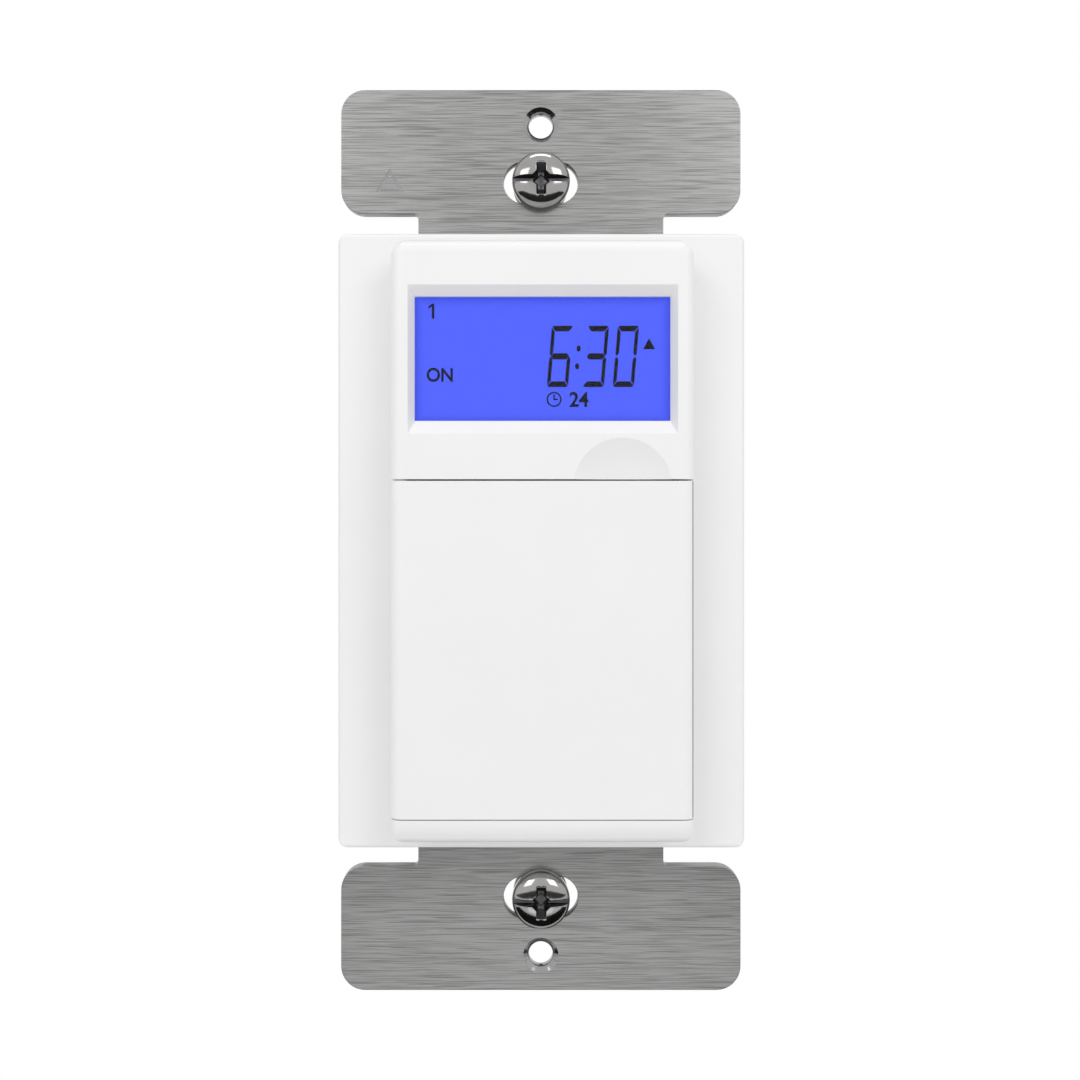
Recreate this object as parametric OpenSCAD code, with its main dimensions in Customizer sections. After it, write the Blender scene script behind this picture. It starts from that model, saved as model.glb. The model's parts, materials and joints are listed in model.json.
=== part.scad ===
// Programmable timer switch for a single-gang wall box, with a hinged door over its keys.
// X points right and Z up, seen from the room. The room is on the -Y side.
// The origin is the centre of the strap's front plane, midway between the wall-plate holes.

/* [Strap] */
// Overall height of the strap
strap_h = 105; // [103:0.5:107]
// Width of the strap's ears, and of the bezel's wings between them
strap_w = 46.6; // [45.6:0.2:48]
// Thickness of the strap's sheet
strap_t = 1.4; // [1.1:0.1:1.6]
// Height of each ear
ear_h = 14.5; // [13.9:0.1:15]
// Corner radius of the ears
ear_r = 2.8; // [1:0.1:4]
// Width of the neck between an ear and the frame
neck_w = 28.6; // [24:0.2:32]
// Fillet between an ear and the neck
neck_r = 0.5; // [0.2:0.1:1]
// Distance between the two wall-plate holes
plate_pitch = 96.84; // [96:0.02:97.6]
// Radius of a wall-plate hole inside its thread
plate_hole_r = 1.4; // [1.2:0.05:1.7]
// Radius of the flare at the mouth of a wall-plate hole
plate_flare_r = 2.05; // [1.8:0.05:2.3]
// Depth of that flare
plate_flare_d = 0.5; // [0.3:0.05:0.7]
// Width of the opening in the strap's frame
opening_w = 34; // [33:0.2:35]
// Clearance between the housing's screw posts and the ends of the opening
opening_gap = 0.45; // [0.3:0.05:0.8]
// Width of the frame's side rails
rail_w = 4.6; // [4.4:0.1:5]
// Height of the frame's end rails
rail_h = 2.1; // [1.7:0.1:2.4]

/* [Box screws] */
// Distance between the two box screws
box_pitch = 83.34; // [82.6:0.02:84]
// Radius of a box screw's thread
box_screw_r = 1.75; // [1.5:0.05:1.9]
// Radius of the bare neck under a box screw's head, where its washer sits
box_neck_r = 1.5; // [1.3:0.05:1.6]
// Length of a box screw under its head
box_screw_len = 25.4; // [19:0.2:32]
// Radius of a box screw's head
box_head_r = 3.35; // [3:0.05:3.8]
// Height of the head's rim
box_rim_h = 0.7; // [0.5:0.1:1]
// Height of the head's dome over the rim
box_dome_h = 1.4; // [1:0.1:1.8]
// Width of the slot that a box screw sits in
slot_w = 8.7; // [8:0.1:9.4]
// Height of that slot
slot_h = 4.9; // [4.2:0.1:5.4]
// Thickness of the washer that keeps the screw in the slot
washer_t = 0.9; // [0.6:0.1:1.4]
// Outer radius of that washer
washer_r = 3.2; // [2.8:0.1:4]

/* [Face] */
// Width of the raised face
face_w = 33.1; // [32.7:0.1:33.3]
// Height of the raised face
face_h = 66.2; // [65.8:0.1:66.6]
// How far the face stands in front of the strap
face_proj = 9.1; // [8.8:0.1:9.6]
// Corner radius of the face's outline
face_r = 2; // [1:0.1:2.4]
// Rounding of the face's side edges, which is also the door's hinge barrel
edge_r = 1.2; // [1.1:0.05:1.3]
// Rounding of the face's top edge
top_edge_r = 1.5; // [0.8:0.1:2]
// Rounding of the lip under the door
lip_r = 2.8; // [2:0.1:2.9]
// Distance between the ends of the wings and the heads of the box screws
wing_clear = 3.12; // [2.82:0.02:3.2]
// Thickness of the wings
wing_t = 2.5; // [2:0.1:3]
// Corner radius of the wings
wing_r = 1.35; // [0.8:0.05:2]
// Rounding of the wings' front edges
wing_edge_r = 0.6; // [0.3:0.1:1]
// Thickness of the bezel's front wall
front_wall = 1.6; // [1.4:0.1:1.8]
// Thickness of the bezel's side walls
side_wall = 1.2; // [1.1:0.05:1.3]

/* [Display] */
// Width of the display window
window_w = 28; // [27:0.1:28.2]
// Height of the display window
window_h = 13.6; // [13:0.1:14]
// Height of the window's centre over the strap's centre
window_z = 20.1; // [19.8:0.1:20.3]
// Slope width of the window's bevel at the left and right
bevel_side = 0.65; // [0.4:0.05:0.8]
// Slope width of the bevel at the top
bevel_top = 1.1; // [0.8:0.1:1.3]
// Slope width of the bevel at the bottom
bevel_bottom = 1.4; // [1:0.1:1.6]
// Depth of the bevel
bevel_d = 1.1; // [0.8:0.1:1.3]
// Thickness of the clear lens
lens_t = 0.8; // [0.6:0.1:1]
// Height of the display glass
glass_h = 17; // [16.6:0.1:17.2]
// Thickness of the display glass
glass_t = 1.8; // [1.4:0.1:2]
// Height of the light guide
backlight_h = 13.8; // [13.6:0.1:14]
// Thickness of the light guide
backlight_t = 3.3; // [3.2:0.1:3.5]
// Thickness of the rubber contact strips
strip_t = 1.3; // [1:0.1:1.4]
// Wall of the holder around the display glass
holder_wall = 0.6; // [0.5:0.05:0.6]

/* [Door] */
// Height of the door's opening
door_h = 37; // [36.6:0.1:37.2]
// Height of the opening's lower edge over the face's lower edge
lip_h = 3; // [2.9:0.1:3.2]
// Thickness of the door
door_t = 1.6; // [1.4:0.1:1.7]
// Seam between the door and the bezel
door_gap = 0.12; // [0.1:0.01:0.15]
// Radius of the door's hinge pins
pin_r = 0.65; // [0.6:0.01:0.68]
// Radial clearance of the hinge pins
pin_gap = 0.05; // [0.03:0.01:0.07]
// Length of a hinge pin
pin_len = 0.95; // [0.8:0.05:1]
// Height of the door's catch
catch_h = 6; // [4:0.5:8]
// Reach of the catch behind the door
catch_d = 1.3; // [1:0.1:1.4]
// Thickness of the catch
catch_t = 0.8; // [0.6:0.1:1]
// Depth of the key pocket behind the face
pocket_d = 3.4; // [3.3:0.1:3.5]
// Thickness of the plate that the keys pass through
key_plate_t = 1.2; // [1.1:0.05:1.3]
// Radius of the finger scoop on the face
scoop_r = 5.3; // [4.5:0.1:5.6]
// Depth of the scoop
scoop_d = 1.3; // [1:0.1:1.4]
// Distance of the scoop from the face's centre line
scoop_x = 8.65; // [7:0.05:9]

/* [Keys] */
// Width of a small key
key_w = 6.6; // [5.6:0.1:7]
// Height of a small key
key_h = 4.4; // [4:0.1:5]
// Distance between key columns
key_pitch_x = 9.1; // [8.8:0.1:9.4]
// Distance between key rows
key_pitch_z = 8.8; // [8.4:0.1:9.2]
// Distance of the middle key column from the face's centre line
key_x = 0.6; // [0:0.1:1]
// Distance of the top key row from the pocket's top
key_row_z = 5.6; // [5:0.1:6]
// Width of the on and off key
wide_key_w = 17; // [15:0.2:18]
// Height of the on and off key
wide_key_h = 8.6; // [7:0.1:9]
// Distance of the wide key's centre from the bottom key row
wide_key_z = 11; // [10.6:0.1:11.4]
// Radius of the reset button
reset_r = 1.1; // [0.9:0.05:1.4]
// Height of a key over its plate
key_proud = 1; // [0.6:0.1:1.1]
// Clearance around a key
key_gap = 0.15; // [0.1:0.01:0.2]
// Width of the flange that keeps a key behind its plate
key_flange = 0.6; // [0.4:0.1:0.8]
// Width of a switch body
switch_w = 6; // [5:0.1:6.2]
// Height of a switch body
switch_h = 1.8; // [1.7:0.05:1.85]
// Radius of a switch plunger
plunger_r = 1.2; // [1:0.05:1.4]
// Height of a plunger over its switch body
plunger_out = 0.65; // [0.6:0.01:0.68]

/* [Boards] */
// Thickness of both circuit boards
board_t = 1.6; // [1.5:0.1:1.7]
// Space between the two boards
board_space = 5.8; // [5.6:0.1:6]
// Radius of a board screw
board_screw_r = 0.85; // [0.7:0.05:0.9]
// Length of a board screw under its head
board_screw_len = 4.2; // [4:0.1:4.4]
// Radius of the backup battery
battery_r = 5.8; // [5:0.1:6.2]
// Thickness of the backup battery
battery_t = 4.6; // [4:0.1:5]
// Relay size across, from the board and up
relay = [15.5, 15.4, 19]; // [10:0.1:20]
// Film capacitor size across, from the board and up
film = [18, 12.5, 8]; // [6:0.1:19]
// Radius of the electrolytic capacitor
electrolytic_r = 5; // [4:0.1:5.4]
// Length of the electrolytic capacitor
electrolytic_len = 16; // [12:0.5:18]
// Radius of the varistor
varistor_r = 4.8; // [4:0.1:5]
// Thickness of the varistor
varistor_t = 4; // [3:0.1:5]

/* [Housing] */
// Width of the rear housing
housing_w = 39; // [38.6:0.1:39.4]
// Distance from a housing screw's centre to the housing's end
housing_rim = 1.2; // [1.1:0.05:1.3]
// Depth of the rear housing behind the strap
housing_d = 30; // [29.6:0.1:32]
// Wall of the rear housing
housing_wall = 1.8; // [1.6:0.1:1.9]
// Corner radius of the housing
housing_r = 2; // [1:0.1:3]
// Rounding of the housing's back edges
housing_edge_r = 1.4; // [1:0.1:1.8]
// Distance between the housing screws across
fix_pitch_x = 26.8; // [26.6:0.1:27]
// Distance of a housing screw's centre from the inside of the bezel's end wall
fix_inset = 1.1; // [1.05:0.01:1.15]
// Radius of a housing screw
fix_screw_r = 0.75; // [0.6:0.05:0.8]
// Length of a housing screw under its head
fix_screw_len = 9; // [8:0.1:9.2]
// Thickness of the housing under a housing screw's head
fix_seat = 4.6; // [4:0.1:5]

/* [Terminals] */
// Radius of a terminal screw's thread
terminal_r = 1.75; // [1.6:0.05:1.9]
// Radius of a terminal screw's head
terminal_head_r = 4.1; // [3.6:0.1:4.4]
// Thickness of a terminal screw's head
terminal_head_h = 2.2; // [1.8:0.1:2.6]
// Thickness of the brass plates
terminal_t = 1.2; // [1:0.1:1.3]
// Width of a wire clamp
clamp_w = 8; // [7:0.1:8.6]
// Gap for the wire between plate and clamp
wire_gap = 1.2; // [1:0.1:1.3]
// Depth of a terminal pocket
terminal_d = 5; // [4.8:0.1:5.2]
// Height of a terminal pocket
terminal_h = 11; // [10.4:0.1:11.6]
// Radius of the ground screw's thread
ground_r = 1.75; // [1.6:0.05:1.9]
// Clearance between the housing's side and the ground tab
tab_gap = 0.7; // [0.4:0.1:1]
// Height of the ground tab
ground_h = 8.4; // [8.2:0.1:9]

/* [Hidden] */
$fn = 48;
eps = 0.01;
over = 1;
fit = 0.1;
thread_gap = 0.05;

strap_back = strap_t;
opening_r = 1.5;
plate_z = plate_pitch / 2;
box_z = box_pitch / 2;
box_slot_w = 0.9;
box_slot_d = 1.1;
box_cross_w = 1;
box_cross_h = 4.2;
box_cross_d = 1.3;
box_neck_back = strap_back + washer_t + 3 * fit;
box_tip = 0.6;

wing_w = strap_w;
wing_h = box_pitch - 2 * (box_head_r + wing_clear);
ear_z = strap_h / 2 - ear_h / 2;
ear_inner = strap_h / 2 - ear_h;

face_y = -face_proj;
face_x = face_w / 2;
face_z = face_h / 2;
inner_y = face_y + front_wall;
inner_x = face_x - side_wall;
inner_z = face_z - side_wall;

lens_y = inner_y;
glass_y = lens_y + lens_t + fit;
backlight_y = glass_y + glass_t;
control_y = backlight_y + backlight_t + fit;
holder_h = glass_h + 2 * (fit + holder_wall);
holder_x = inner_x - fit;
glass_x = holder_x - holder_wall - fit;
lens_r = 0.5;
holder_r = 0.4;
strip_inset = 1;

door_z0 = -face_z + lip_h;
door_z1 = door_z0 + door_h;
door_back = face_y + door_t;
hinge_x = -face_x + edge_r;
hinge_y = face_y + edge_r;
swing_gap = 0.15;
hinge_clear = edge_r + swing_gap;
pin_bore_r = pin_r + pin_gap;
pocket_x0 = hinge_x + hinge_clear;
pocket_x1 = inner_x - catch_t / 2;
pocket_y = face_y + pocket_d;
key_plate_back = pocket_y + key_plate_t;
catch_x = pocket_x1 - 2 * fit - catch_t;
catch_z = (door_z0 + door_z1) / 2;
scoop_drop = 0.85;
scoop_z = door_z1 - scoop_drop;
scoop_ball = (scoop_r * scoop_r + scoop_d * scoop_d) / (2 * scoop_d);

key_y0 = pocket_y - key_proud;
key_corner_r = 1.2;
key_edge_r = 0.4;
reset_depth = 0.4;
switch_r = 0.4;
switch_floor = 0.8;
plunger_in = 0.45;
plunger_y0 = control_y - switch_h - plunger_out;
key_back = plunger_y0;
flange_y0 = key_plate_back + thread_gap;
row_1 = door_z1 - key_row_z;
row_2 = row_1 - key_pitch_z;
row_3 = row_2 - wide_key_z;
col_1 = key_x - key_pitch_x;
col_3 = key_x + key_pitch_x;
wide_key_x = col_1 - key_w / 2 + wide_key_w / 2;
// Each key's centre across and up, and its width and height
KEYS = [
    [col_1, row_1, key_w, key_h],
    [key_x, row_1, key_w, key_h],
    [col_3, row_1, key_w, key_h],
    [col_1, row_2, key_w, key_h],
    [key_x, row_2, key_w, key_h],
    [col_3, row_2, key_w, key_h],
    [wide_key_x, row_3, wide_key_w, wide_key_h],
    [col_3, row_3, 2 * reset_r, 2 * reset_r]
];

board_x = inner_x - 2 * fit;
board_r = 0.6;
control_back = control_y + board_t;
power_y = control_back + board_space;
power_back = power_y + board_t;
post_r = 1.45;
fix_x = fix_pitch_x / 2;
fix_z = inner_z - fix_inset;
opening_h = 2 * (fix_z + post_r + opening_gap);
frame_w = opening_w + 2 * rail_w;
frame_h = opening_h + 2 * rail_h;
control_z = fix_z - post_r - 2 * fit;
control_post_r = 1.6;
control_post_side = 0.85;
control_post_rise = 0.6;
control_post_gap = 2.4;
control_fix_x = inner_x - control_post_r - control_post_side;
control_fix_z1 = door_z1 + side_wall + control_post_rise;
control_fix_z0 = -fix_z + post_r + control_post_gap;
board_head_r = 1.6;
board_head_h = 1.2;
board_slot_w = 0.4;
board_slot_d = 0.5;
battery_edge = 3;
battery_rim = 0.8;
battery_step = 0.3;

housing_x = housing_w / 2;
housing_h = 2 * (fix_z + housing_rim);
housing_z = housing_h / 2;
housing_y1 = strap_back + housing_d;
cavity_x = housing_x - housing_wall;
cavity_z = housing_z - housing_wall;
cavity_y1 = housing_y1 - housing_wall;
column_r = 3.3;
well_r = 2.3;
seat_y = strap_back + fix_seat;
fix_head_r = 1.9;
fix_head_h = 1.4;
fix_slot_w = 0.5;
fix_slot_d = 0.6;
power_side = 0.9;
power_end = 0.4;
power_x = cavity_x - power_side;
power_z = cavity_z - power_end;
rib_t = 1.6;
rib_z = 22;
power_post_r = 2.3;
power_post_gap = 1.4;
power_fix_z = cavity_z - power_post_r - power_post_gap;
connector_w = 12;
connector_h = 2.5;
connector_rise = 10.5;
connector_z = -power_fix_z + connector_rise;

// Terminals are worked out for the left side and mirrored to the right
terminal_len = 11;
terminal_behind = 3.4;
terminal_y1 = housing_y1 - terminal_behind;
terminal_y0 = terminal_y1 - terminal_len;
terminal_y = (terminal_y0 + terminal_y1) / 2;
terminal_floor = -housing_x + terminal_d;
plate_x = terminal_floor - terminal_t;
clamp_t = 1;
clamp_x = plate_x - wire_gap - clamp_t;
head_x = clamp_x - terminal_head_h;
terminal_wall = 2.3;
tail_h = 3;
terminal_bite = 1.4;
terminal_tip = terminal_floor + terminal_bite;
terminal_slot_w = 1;
terminal_slot_d = 1;
plate_edge = 1;
terminal_z0 = -7;
terminal_z1 = 14;
// Side of each terminal, -1 left and 1 right, and its height
TERMINALS = [[-1, terminal_z1], [-1, terminal_z0], [1, terminal_z1]];

// The power parts stand on their board from the bottom up, beside the terminal pockets
part_gap = 2;
relay_z = -power_fix_z + power_post_r + part_gap + relay.z / 2;
film_z = relay_z + relay.z / 2 + part_gap + film.z / 2;
electrolytic_x = -terminal_floor - terminal_wall - part_gap - electrolytic_r;
electrolytic_z = film_z + film.z / 2 + part_gap + electrolytic_r;
groove_r = 0.6;
groove_out = 0.2;
groove_up = 1.8;
varistor_x = electrolytic_x - electrolytic_r - part_gap - varistor_t / 2;
varistor_stand = 1.6;
lead_pitch = 5;
lead_r = 0.4;

ground_x = -housing_x - tab_gap - strap_t;
ground_rise = 8.2;
ground_z = -frame_h / 2 + ground_rise;
ground_y = 6;
ground_reach = 10.4;
ground_head_r = 3.7;
ground_flange = 0.6;
ground_hexagon = 1.1;
ground_slot_w = 0.9;
ground_slot_d = 0.8;
ground_room = 0.6;
ground_tip = -housing_x + 1;

// Flat outline in X and Z, given thickness from y0 back to y1
module slab(y0, y1) {
    translate([0, y1, 0]) rotate([90, 0, 0]) linear_extrude(y1 - y0) children();
}

// Solid between two corners
module block(low, high) {
    translate(low) cube(high - low);
}

// Round bar along Y, from y0 back to y1
module bar(r, y0, y1) {
    translate([0, y1, 0]) rotate([90, 0, 0]) cylinder(r = r, h = y1 - y0);
}

// Rectangle whose four corners have their own radii, from the low corner anticlockwise
module corner_rect(low, high, radii) {
    sides = [[1, 1], [-1, 1], [-1, -1], [1, -1]];
    corners = [low, [high.x, low.y], high, [low.x, high.y]];
    difference() {
        translate(low) square(high - low);
        for (i = [0:3]) if (radii[i] > 0) translate(corners[i]) scale(sides[i]) difference() {
            translate([-over, -over]) square(radii[i] + over);
            translate([radii[i], radii[i]]) circle(radii[i]);
        }
    }
}

// Rectangle about the origin with one corner radius
module round_rect(w, h, r) {
    corner_rect([-w / 2, -h / 2], [w / 2, h / 2], [r, r, r, r]);
}

// Slot with round ends along X
module obround(w, h) {
    square([w - h, h], center = true);
    for (side = [-1, 1]) translate([side * (w - h) / 2, 0]) circle(h / 2);
}

// Moulded block with a rounded outline, and rounded edges at its front and back.
// Each edge list holds the radii at the top, the bottom and the sides.
module moulded(w, h, r, y0, y1, front = [0, 0, 0], back = [0, 0, 0]) {
    intersection() {
        slab(y0, y1) round_rect(w, h, r);
        translate([-w / 2 - over, 0, 0]) rotate([90, 0, 90]) linear_extrude(w + 2 * over)
            corner_rect([y0, -h / 2], [y1, h / 2], [front[1], back[1], back[0], front[0]]);
        translate([0, 0, -h / 2 - over]) linear_extrude(h + 2 * over)
            corner_rect([-w / 2, y0], [w / 2, y1], [front[2], front[2], back[2], back[2]]);
    }
}

// The raised face's outer form, which the door's front follows
module face_form() {
    moulded(face_w, face_h, face_r, face_y, -eps, [top_edge_r, lip_r, edge_r]);
}

module at_fixings() {
    for (sx = [-1, 1], sz = [-1, 1]) translate([sx * fix_x, 0, sz * fix_z]) children();
}

module at_control_fixings() {
    for (sx = [-1, 1], z = [control_fix_z0, control_fix_z1])
        translate([sx * control_fix_x, 0, z]) children();
}

module at_power_fixings() {
    for (sz = [-1, 1]) translate([0, 0, sz * power_fix_z]) children();
}

module at_box_screws() {
    for (sz = [-1, 1]) translate([0, 0, sz * box_z]) children();
}

module at_terminals() {
    for (t = TERMINALS) translate([0, 0, t[1]]) mirror([t[0] > 0 ? 1 : 0, 0, 0]) children();
}

// Bar along X at a terminal screw's height, from x0 to x1
module terminal_bar(r, x0, x1) {
    translate([x0, terminal_y, 0]) rotate([0, 90, 0]) cylinder(r = r, h = x1 - x0);
}

module neck_fillet() {
    translate([neck_w / 2, ear_inner]) difference() {
        translate([-eps, -neck_r]) square(neck_r + eps);
        translate([neck_r, -neck_r]) circle(neck_r);
    }
}

module strap_outline() {
    difference() {
        union() {
            for (sz = [-1, 1]) translate([0, sz * ear_z]) round_rect(strap_w, ear_h, ear_r);
            square([neck_w, 2 * ear_inner + 2 * eps], center = true);
            round_rect(frame_w, frame_h, ear_r);
            for (sx = [-1, 1], sz = [-1, 1]) scale([sx, sz]) neck_fillet();
        }
        round_rect(opening_w, opening_h, opening_r);
        for (sz = [-1, 1]) {
            translate([0, sz * box_z]) obround(slot_w, slot_h);
            translate([0, sz * plate_z]) circle(plate_hole_r);
        }
    }
}

module mounting_strap() {
    color("silver") difference() {
        union() {
            slab(0, strap_back) strap_outline();
            block([ground_x, 0, ground_z - ground_h / 2],
                  [ground_x + strap_t, ground_reach, ground_z + ground_h / 2]);
            block([ground_x, 0, ground_z - ground_h / 2],
                  [-opening_w / 2 - strap_t, strap_back, ground_z + ground_h / 2]);
        }
        for (sz = [-1, 1]) translate([0, 0, sz * plate_z]) rotate([-90, 0, 0])
            cylinder(r1 = plate_flare_r, r2 = plate_hole_r - eps, h = plate_flare_d);
        translate([ground_x - over, ground_y, ground_z]) rotate([0, 90, 0])
            cylinder(r = ground_r + thread_gap, h = strap_t + 2 * over);
    }
}

// Opening that narrows from the bevel's outer edge to the window
module window_cut() {
    z0 = window_z - window_h / 2;
    z1 = window_z + window_h / 2;
    y1 = face_y + bevel_d;
    slab(face_y - over, inner_y + over) translate([0, window_z]) square([window_w, window_h], center = true);
    intersection() {
        translate([-face_x, 0, 0]) rotate([90, 0, 90]) linear_extrude(face_w)
            polygon([[face_y - eps, z0 - bevel_bottom], [y1, z0], [y1, z1], [face_y - eps, z1 + bevel_top]]);
        linear_extrude(face_h) polygon([
            [-window_w / 2 - bevel_side, face_y - eps], [window_w / 2 + bevel_side, face_y - eps],
            [window_w / 2, y1], [-window_w / 2, y1]
        ]);
    }
}

// Room for the door, its barrel and its catch, with the key pocket behind
module door_recess() {
    block([-face_x - over, face_y - over, door_z0], [face_x + over, door_back + fit, door_z1]);
    block([-face_x - over, face_y - over, door_z0], [pocket_x0, hinge_y + hinge_clear, door_z1]);
    block([pocket_x0 - eps, face_y - over, door_z0], [pocket_x1, pocket_y, door_z1]);
    for (z = [door_z0 - pin_len - fit, door_z1 - eps]) translate([hinge_x, hinge_y, z])
        cylinder(r = pin_bore_r, h = pin_len + fit + eps);
}

module bezel_cavity() {
    block([-inner_x, key_plate_back, -inner_z], [inner_x, over, inner_z]);
    block([-inner_x, inner_y, door_z1 + side_wall], [inner_x, over, inner_z]);
}

// Keeps the posts and walls clear of the holder behind the window
module holder_room() {
    z = holder_h / 2 + fit / 2;
    block([-inner_x, inner_y, window_z - z], [inner_x, control_y, window_z + z]);
}

module key_window(key) {
    translate([key[0], 0, key[1]]) slab(pocket_y - over, key_plate_back + over)
        round_rect(key[2] + 2 * key_gap, key[3] + 2 * key_gap, key_corner(key) + key_gap);
}

module front_bezel() {
    color("white") difference() {
        union() {
            difference() {
                union() {
                    moulded(wing_w, wing_h, wing_r, -wing_t, 0, [wing_edge_r, wing_edge_r, wing_edge_r]);
                    face_form();
                }
                bezel_cavity();
            }
            at_fixings() bar(post_r, key_plate_back - eps, strap_back - fit);
            for (sx = [-1, 1]) translate([sx * fix_x, 0, fix_z]) bar(post_r, inner_y - eps, 0);
            at_control_fixings() bar(control_post_r, key_plate_back - eps, control_y);
            for (sx = [-1, 1]) translate([sx * control_fix_x, 0, control_fix_z1])
                bar(control_post_r, inner_y - eps, control_y);
        }
        door_recess();
        window_cut();
        holder_room();
        for (key = KEYS) key_window(key);
        translate([scoop_x, face_y + scoop_d - scoop_ball, scoop_z]) sphere(scoop_ball, $fn = 96);
        at_fixings() bar(fix_screw_r + thread_gap, seat_y - fix_screw_len - fit, strap_back + over);
        at_control_fixings() bar(board_screw_r + thread_gap, control_back - board_screw_len - fit, over);
    }
}

module door() {
    color("white") union() {
        intersection() {
            face_form();
            block([hinge_x, face_y - over, door_z0 + door_gap],
                  [face_x - fit, door_back, door_z1 - door_gap]);
        }
        translate([hinge_x, hinge_y, door_z0 + door_gap]) cylinder(r = edge_r, h = door_h - 2 * door_gap);
        translate([hinge_x, hinge_y, door_z0 - pin_len]) cylinder(r = pin_r, h = door_h + 2 * pin_len);
        block([catch_x, door_back - eps, catch_z - catch_h / 2],
              [catch_x + catch_t, door_back + catch_d, catch_z + catch_h / 2]);
    }
}

module lcd_lens() {
    color([0.8, 0.85, 0.9, 0.4]) translate([0, 0, window_z])
        slab(lens_y, lens_y + lens_t) round_rect(2 * (holder_x - fit), holder_h - 2 * fit, lens_r);
}

module lcd_panel() {
    color("royalblue") translate([0, 0, window_z]) slab(glass_y, backlight_y)
        square([2 * glass_x, glass_h], center = true);
}

module lcd_backlight() {
    color("lightblue") translate([0, 0, window_z]) slab(backlight_y, backlight_y + backlight_t)
        square([2 * glass_x, backlight_h], center = true);
}

module lcd_holder() {
    color("dimgray") translate([0, 0, window_z]) slab(lens_y + lens_t, control_y) difference() {
        round_rect(2 * holder_x, holder_h, holder_r);
        square([2 * (glass_x + fit), glass_h + 2 * fit], center = true);
    }
}

module elastomer_connectors() {
    color("pink") for (sz = [-1, 1]) translate([0, 0, window_z + sz * (glass_h / 2 - fit - strip_t / 2)])
        slab(backlight_y, control_y) square([2 * (glass_x - strip_inset), strip_t], center = true);
}

module control_board() {
    color("darkgreen") difference() {
        slab(control_y, control_back) round_rect(2 * board_x, 2 * control_z, board_r);
        at_control_fixings() bar(board_screw_r + fit, control_y - over, control_back + over);
    }
}

module tact_switches() {
    color("darkslategray") for (key = KEYS) translate([key[0], 0, key[1]]) difference() {
        slab(control_y - switch_h, control_y) round_rect(switch_w, switch_w, switch_r);
        bar(plunger_r + fit, control_y - switch_h - over, control_y - switch_floor);
    }
}

function key_corner(key) = min(key[3] / 2 - eps, key_corner_r);

// Key cap with a flange behind the key plate, ending on its switch plunger
module key_cap(key) {
    translate([key[0], 0, key[1]]) {
        moulded(key[2], key[3], key_corner(key), key_y0, key_back, [key_edge_r, key_edge_r, key_edge_r]);
        slab(flange_y0, key_back)
            round_rect(key[2] + 2 * key_flange, key[3] + 2 * key_flange, key_corner(key));
    }
}

module key_mode() {
    color("gainsboro") key_cap(KEYS[0]);
}

module key_day() {
    color("gainsboro") key_cap(KEYS[1]);
}

module key_hour() {
    color("gainsboro") key_cap(KEYS[2]);
}

module key_minute() {
    color("gainsboro") key_cap(KEYS[3]);
}

module key_set() {
    color("gainsboro") key_cap(KEYS[4]);
}

module key_random() {
    color("gainsboro") key_cap(KEYS[5]);
}

module key_on_off() {
    color("gainsboro") key_cap(KEYS[6]);
}

// Round button whose top lies below the plate, so that only a pen tip reaches it
module key_reset() {
    color("gray") translate([KEYS[7][0], 0, KEYS[7][1]]) {
        bar(reset_r, pocket_y + reset_depth, key_back);
        bar(reset_r + key_flange, flange_y0, key_back);
    }
}

module plunger(key) {
    color("black") translate([key[0], 0, key[1]])
        bar(plunger_r, plunger_y0, control_y - switch_h + plunger_in);
}

module board_screw() {
    bar(board_screw_r, -board_screw_len, eps);
    difference() {
        bar(board_head_r, 0, board_head_h);
        block([-board_head_r - over, board_head_h - board_slot_d, -board_slot_w / 2],
              [board_head_r + over, board_head_h + over, board_slot_w / 2]);
    }
}

// Four hold the control board on the bezel's posts, two the power board on the housing's posts
module board_screws() {
    color("silver") {
        at_control_fixings() translate([0, control_back, 0]) board_screw();
        at_power_fixings() translate([0, power_y, 0]) rotate([0, 0, 180]) board_screw();
    }
}

module board_connector() {
    color("black") translate([0, 0, connector_z]) slab(control_back, power_y)
        square([connector_w, connector_h], center = true);
}

module backup_battery() {
    color("silver") translate([board_x - battery_r - battery_edge, 0, window_z]) {
        can_back = control_back + battery_t;
        bar(battery_r, control_back, can_back);
        bar(battery_r - battery_rim, can_back - eps, can_back + battery_step);
    }
}

module power_board() {
    color("darkgreen") difference() {
        slab(power_y, power_back) round_rect(2 * power_x, 2 * power_z, board_r);
        at_fixings() bar(column_r + 2 * fit, power_y - over, power_back + over);
        at_power_fixings() bar(board_screw_r + fit, power_y - over, power_back + over);
    }
}

// Moulded part that stands on the power board
module power_block(size, z, edge) {
    translate([0, 0, z])
        moulded(size.x, size.z, edge, power_back, power_back + size.y, back = [edge, edge, edge]);
}

module relay() {
    color("black") power_block(relay, relay_z, 0.6);
}

module film_capacitor() {
    color("gold") power_block(film, film_z, 0.8);
}

module electrolytic_capacitor() {
    color("darkblue") translate([electrolytic_x, 0, electrolytic_z]) difference() {
        bar(electrolytic_r, power_back, power_back + electrolytic_len);
        translate([0, power_back + groove_up, 0]) rotate([90, 0, 0]) rotate_extrude()
            translate([electrolytic_r + groove_out, 0]) circle(groove_r);
    }
}

// Coated disc standing on its two leads
module varistor() {
    y = power_back + varistor_r + varistor_stand;
    color("steelblue") translate([varistor_x, 0, electrolytic_z]) {
        translate([-varistor_t / 2, y, 0]) rotate([0, 90, 0]) cylinder(r = varistor_r, h = varistor_t);
        for (sz = [-1, 1]) translate([0, 0, sz * lead_pitch / 2]) bar(lead_r, power_back, y);
    }
}

module housing_form() {
    moulded(housing_w, housing_h, housing_r, strap_back, housing_y1,
            back = [housing_edge_r, housing_edge_r, housing_edge_r]);
}

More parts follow.
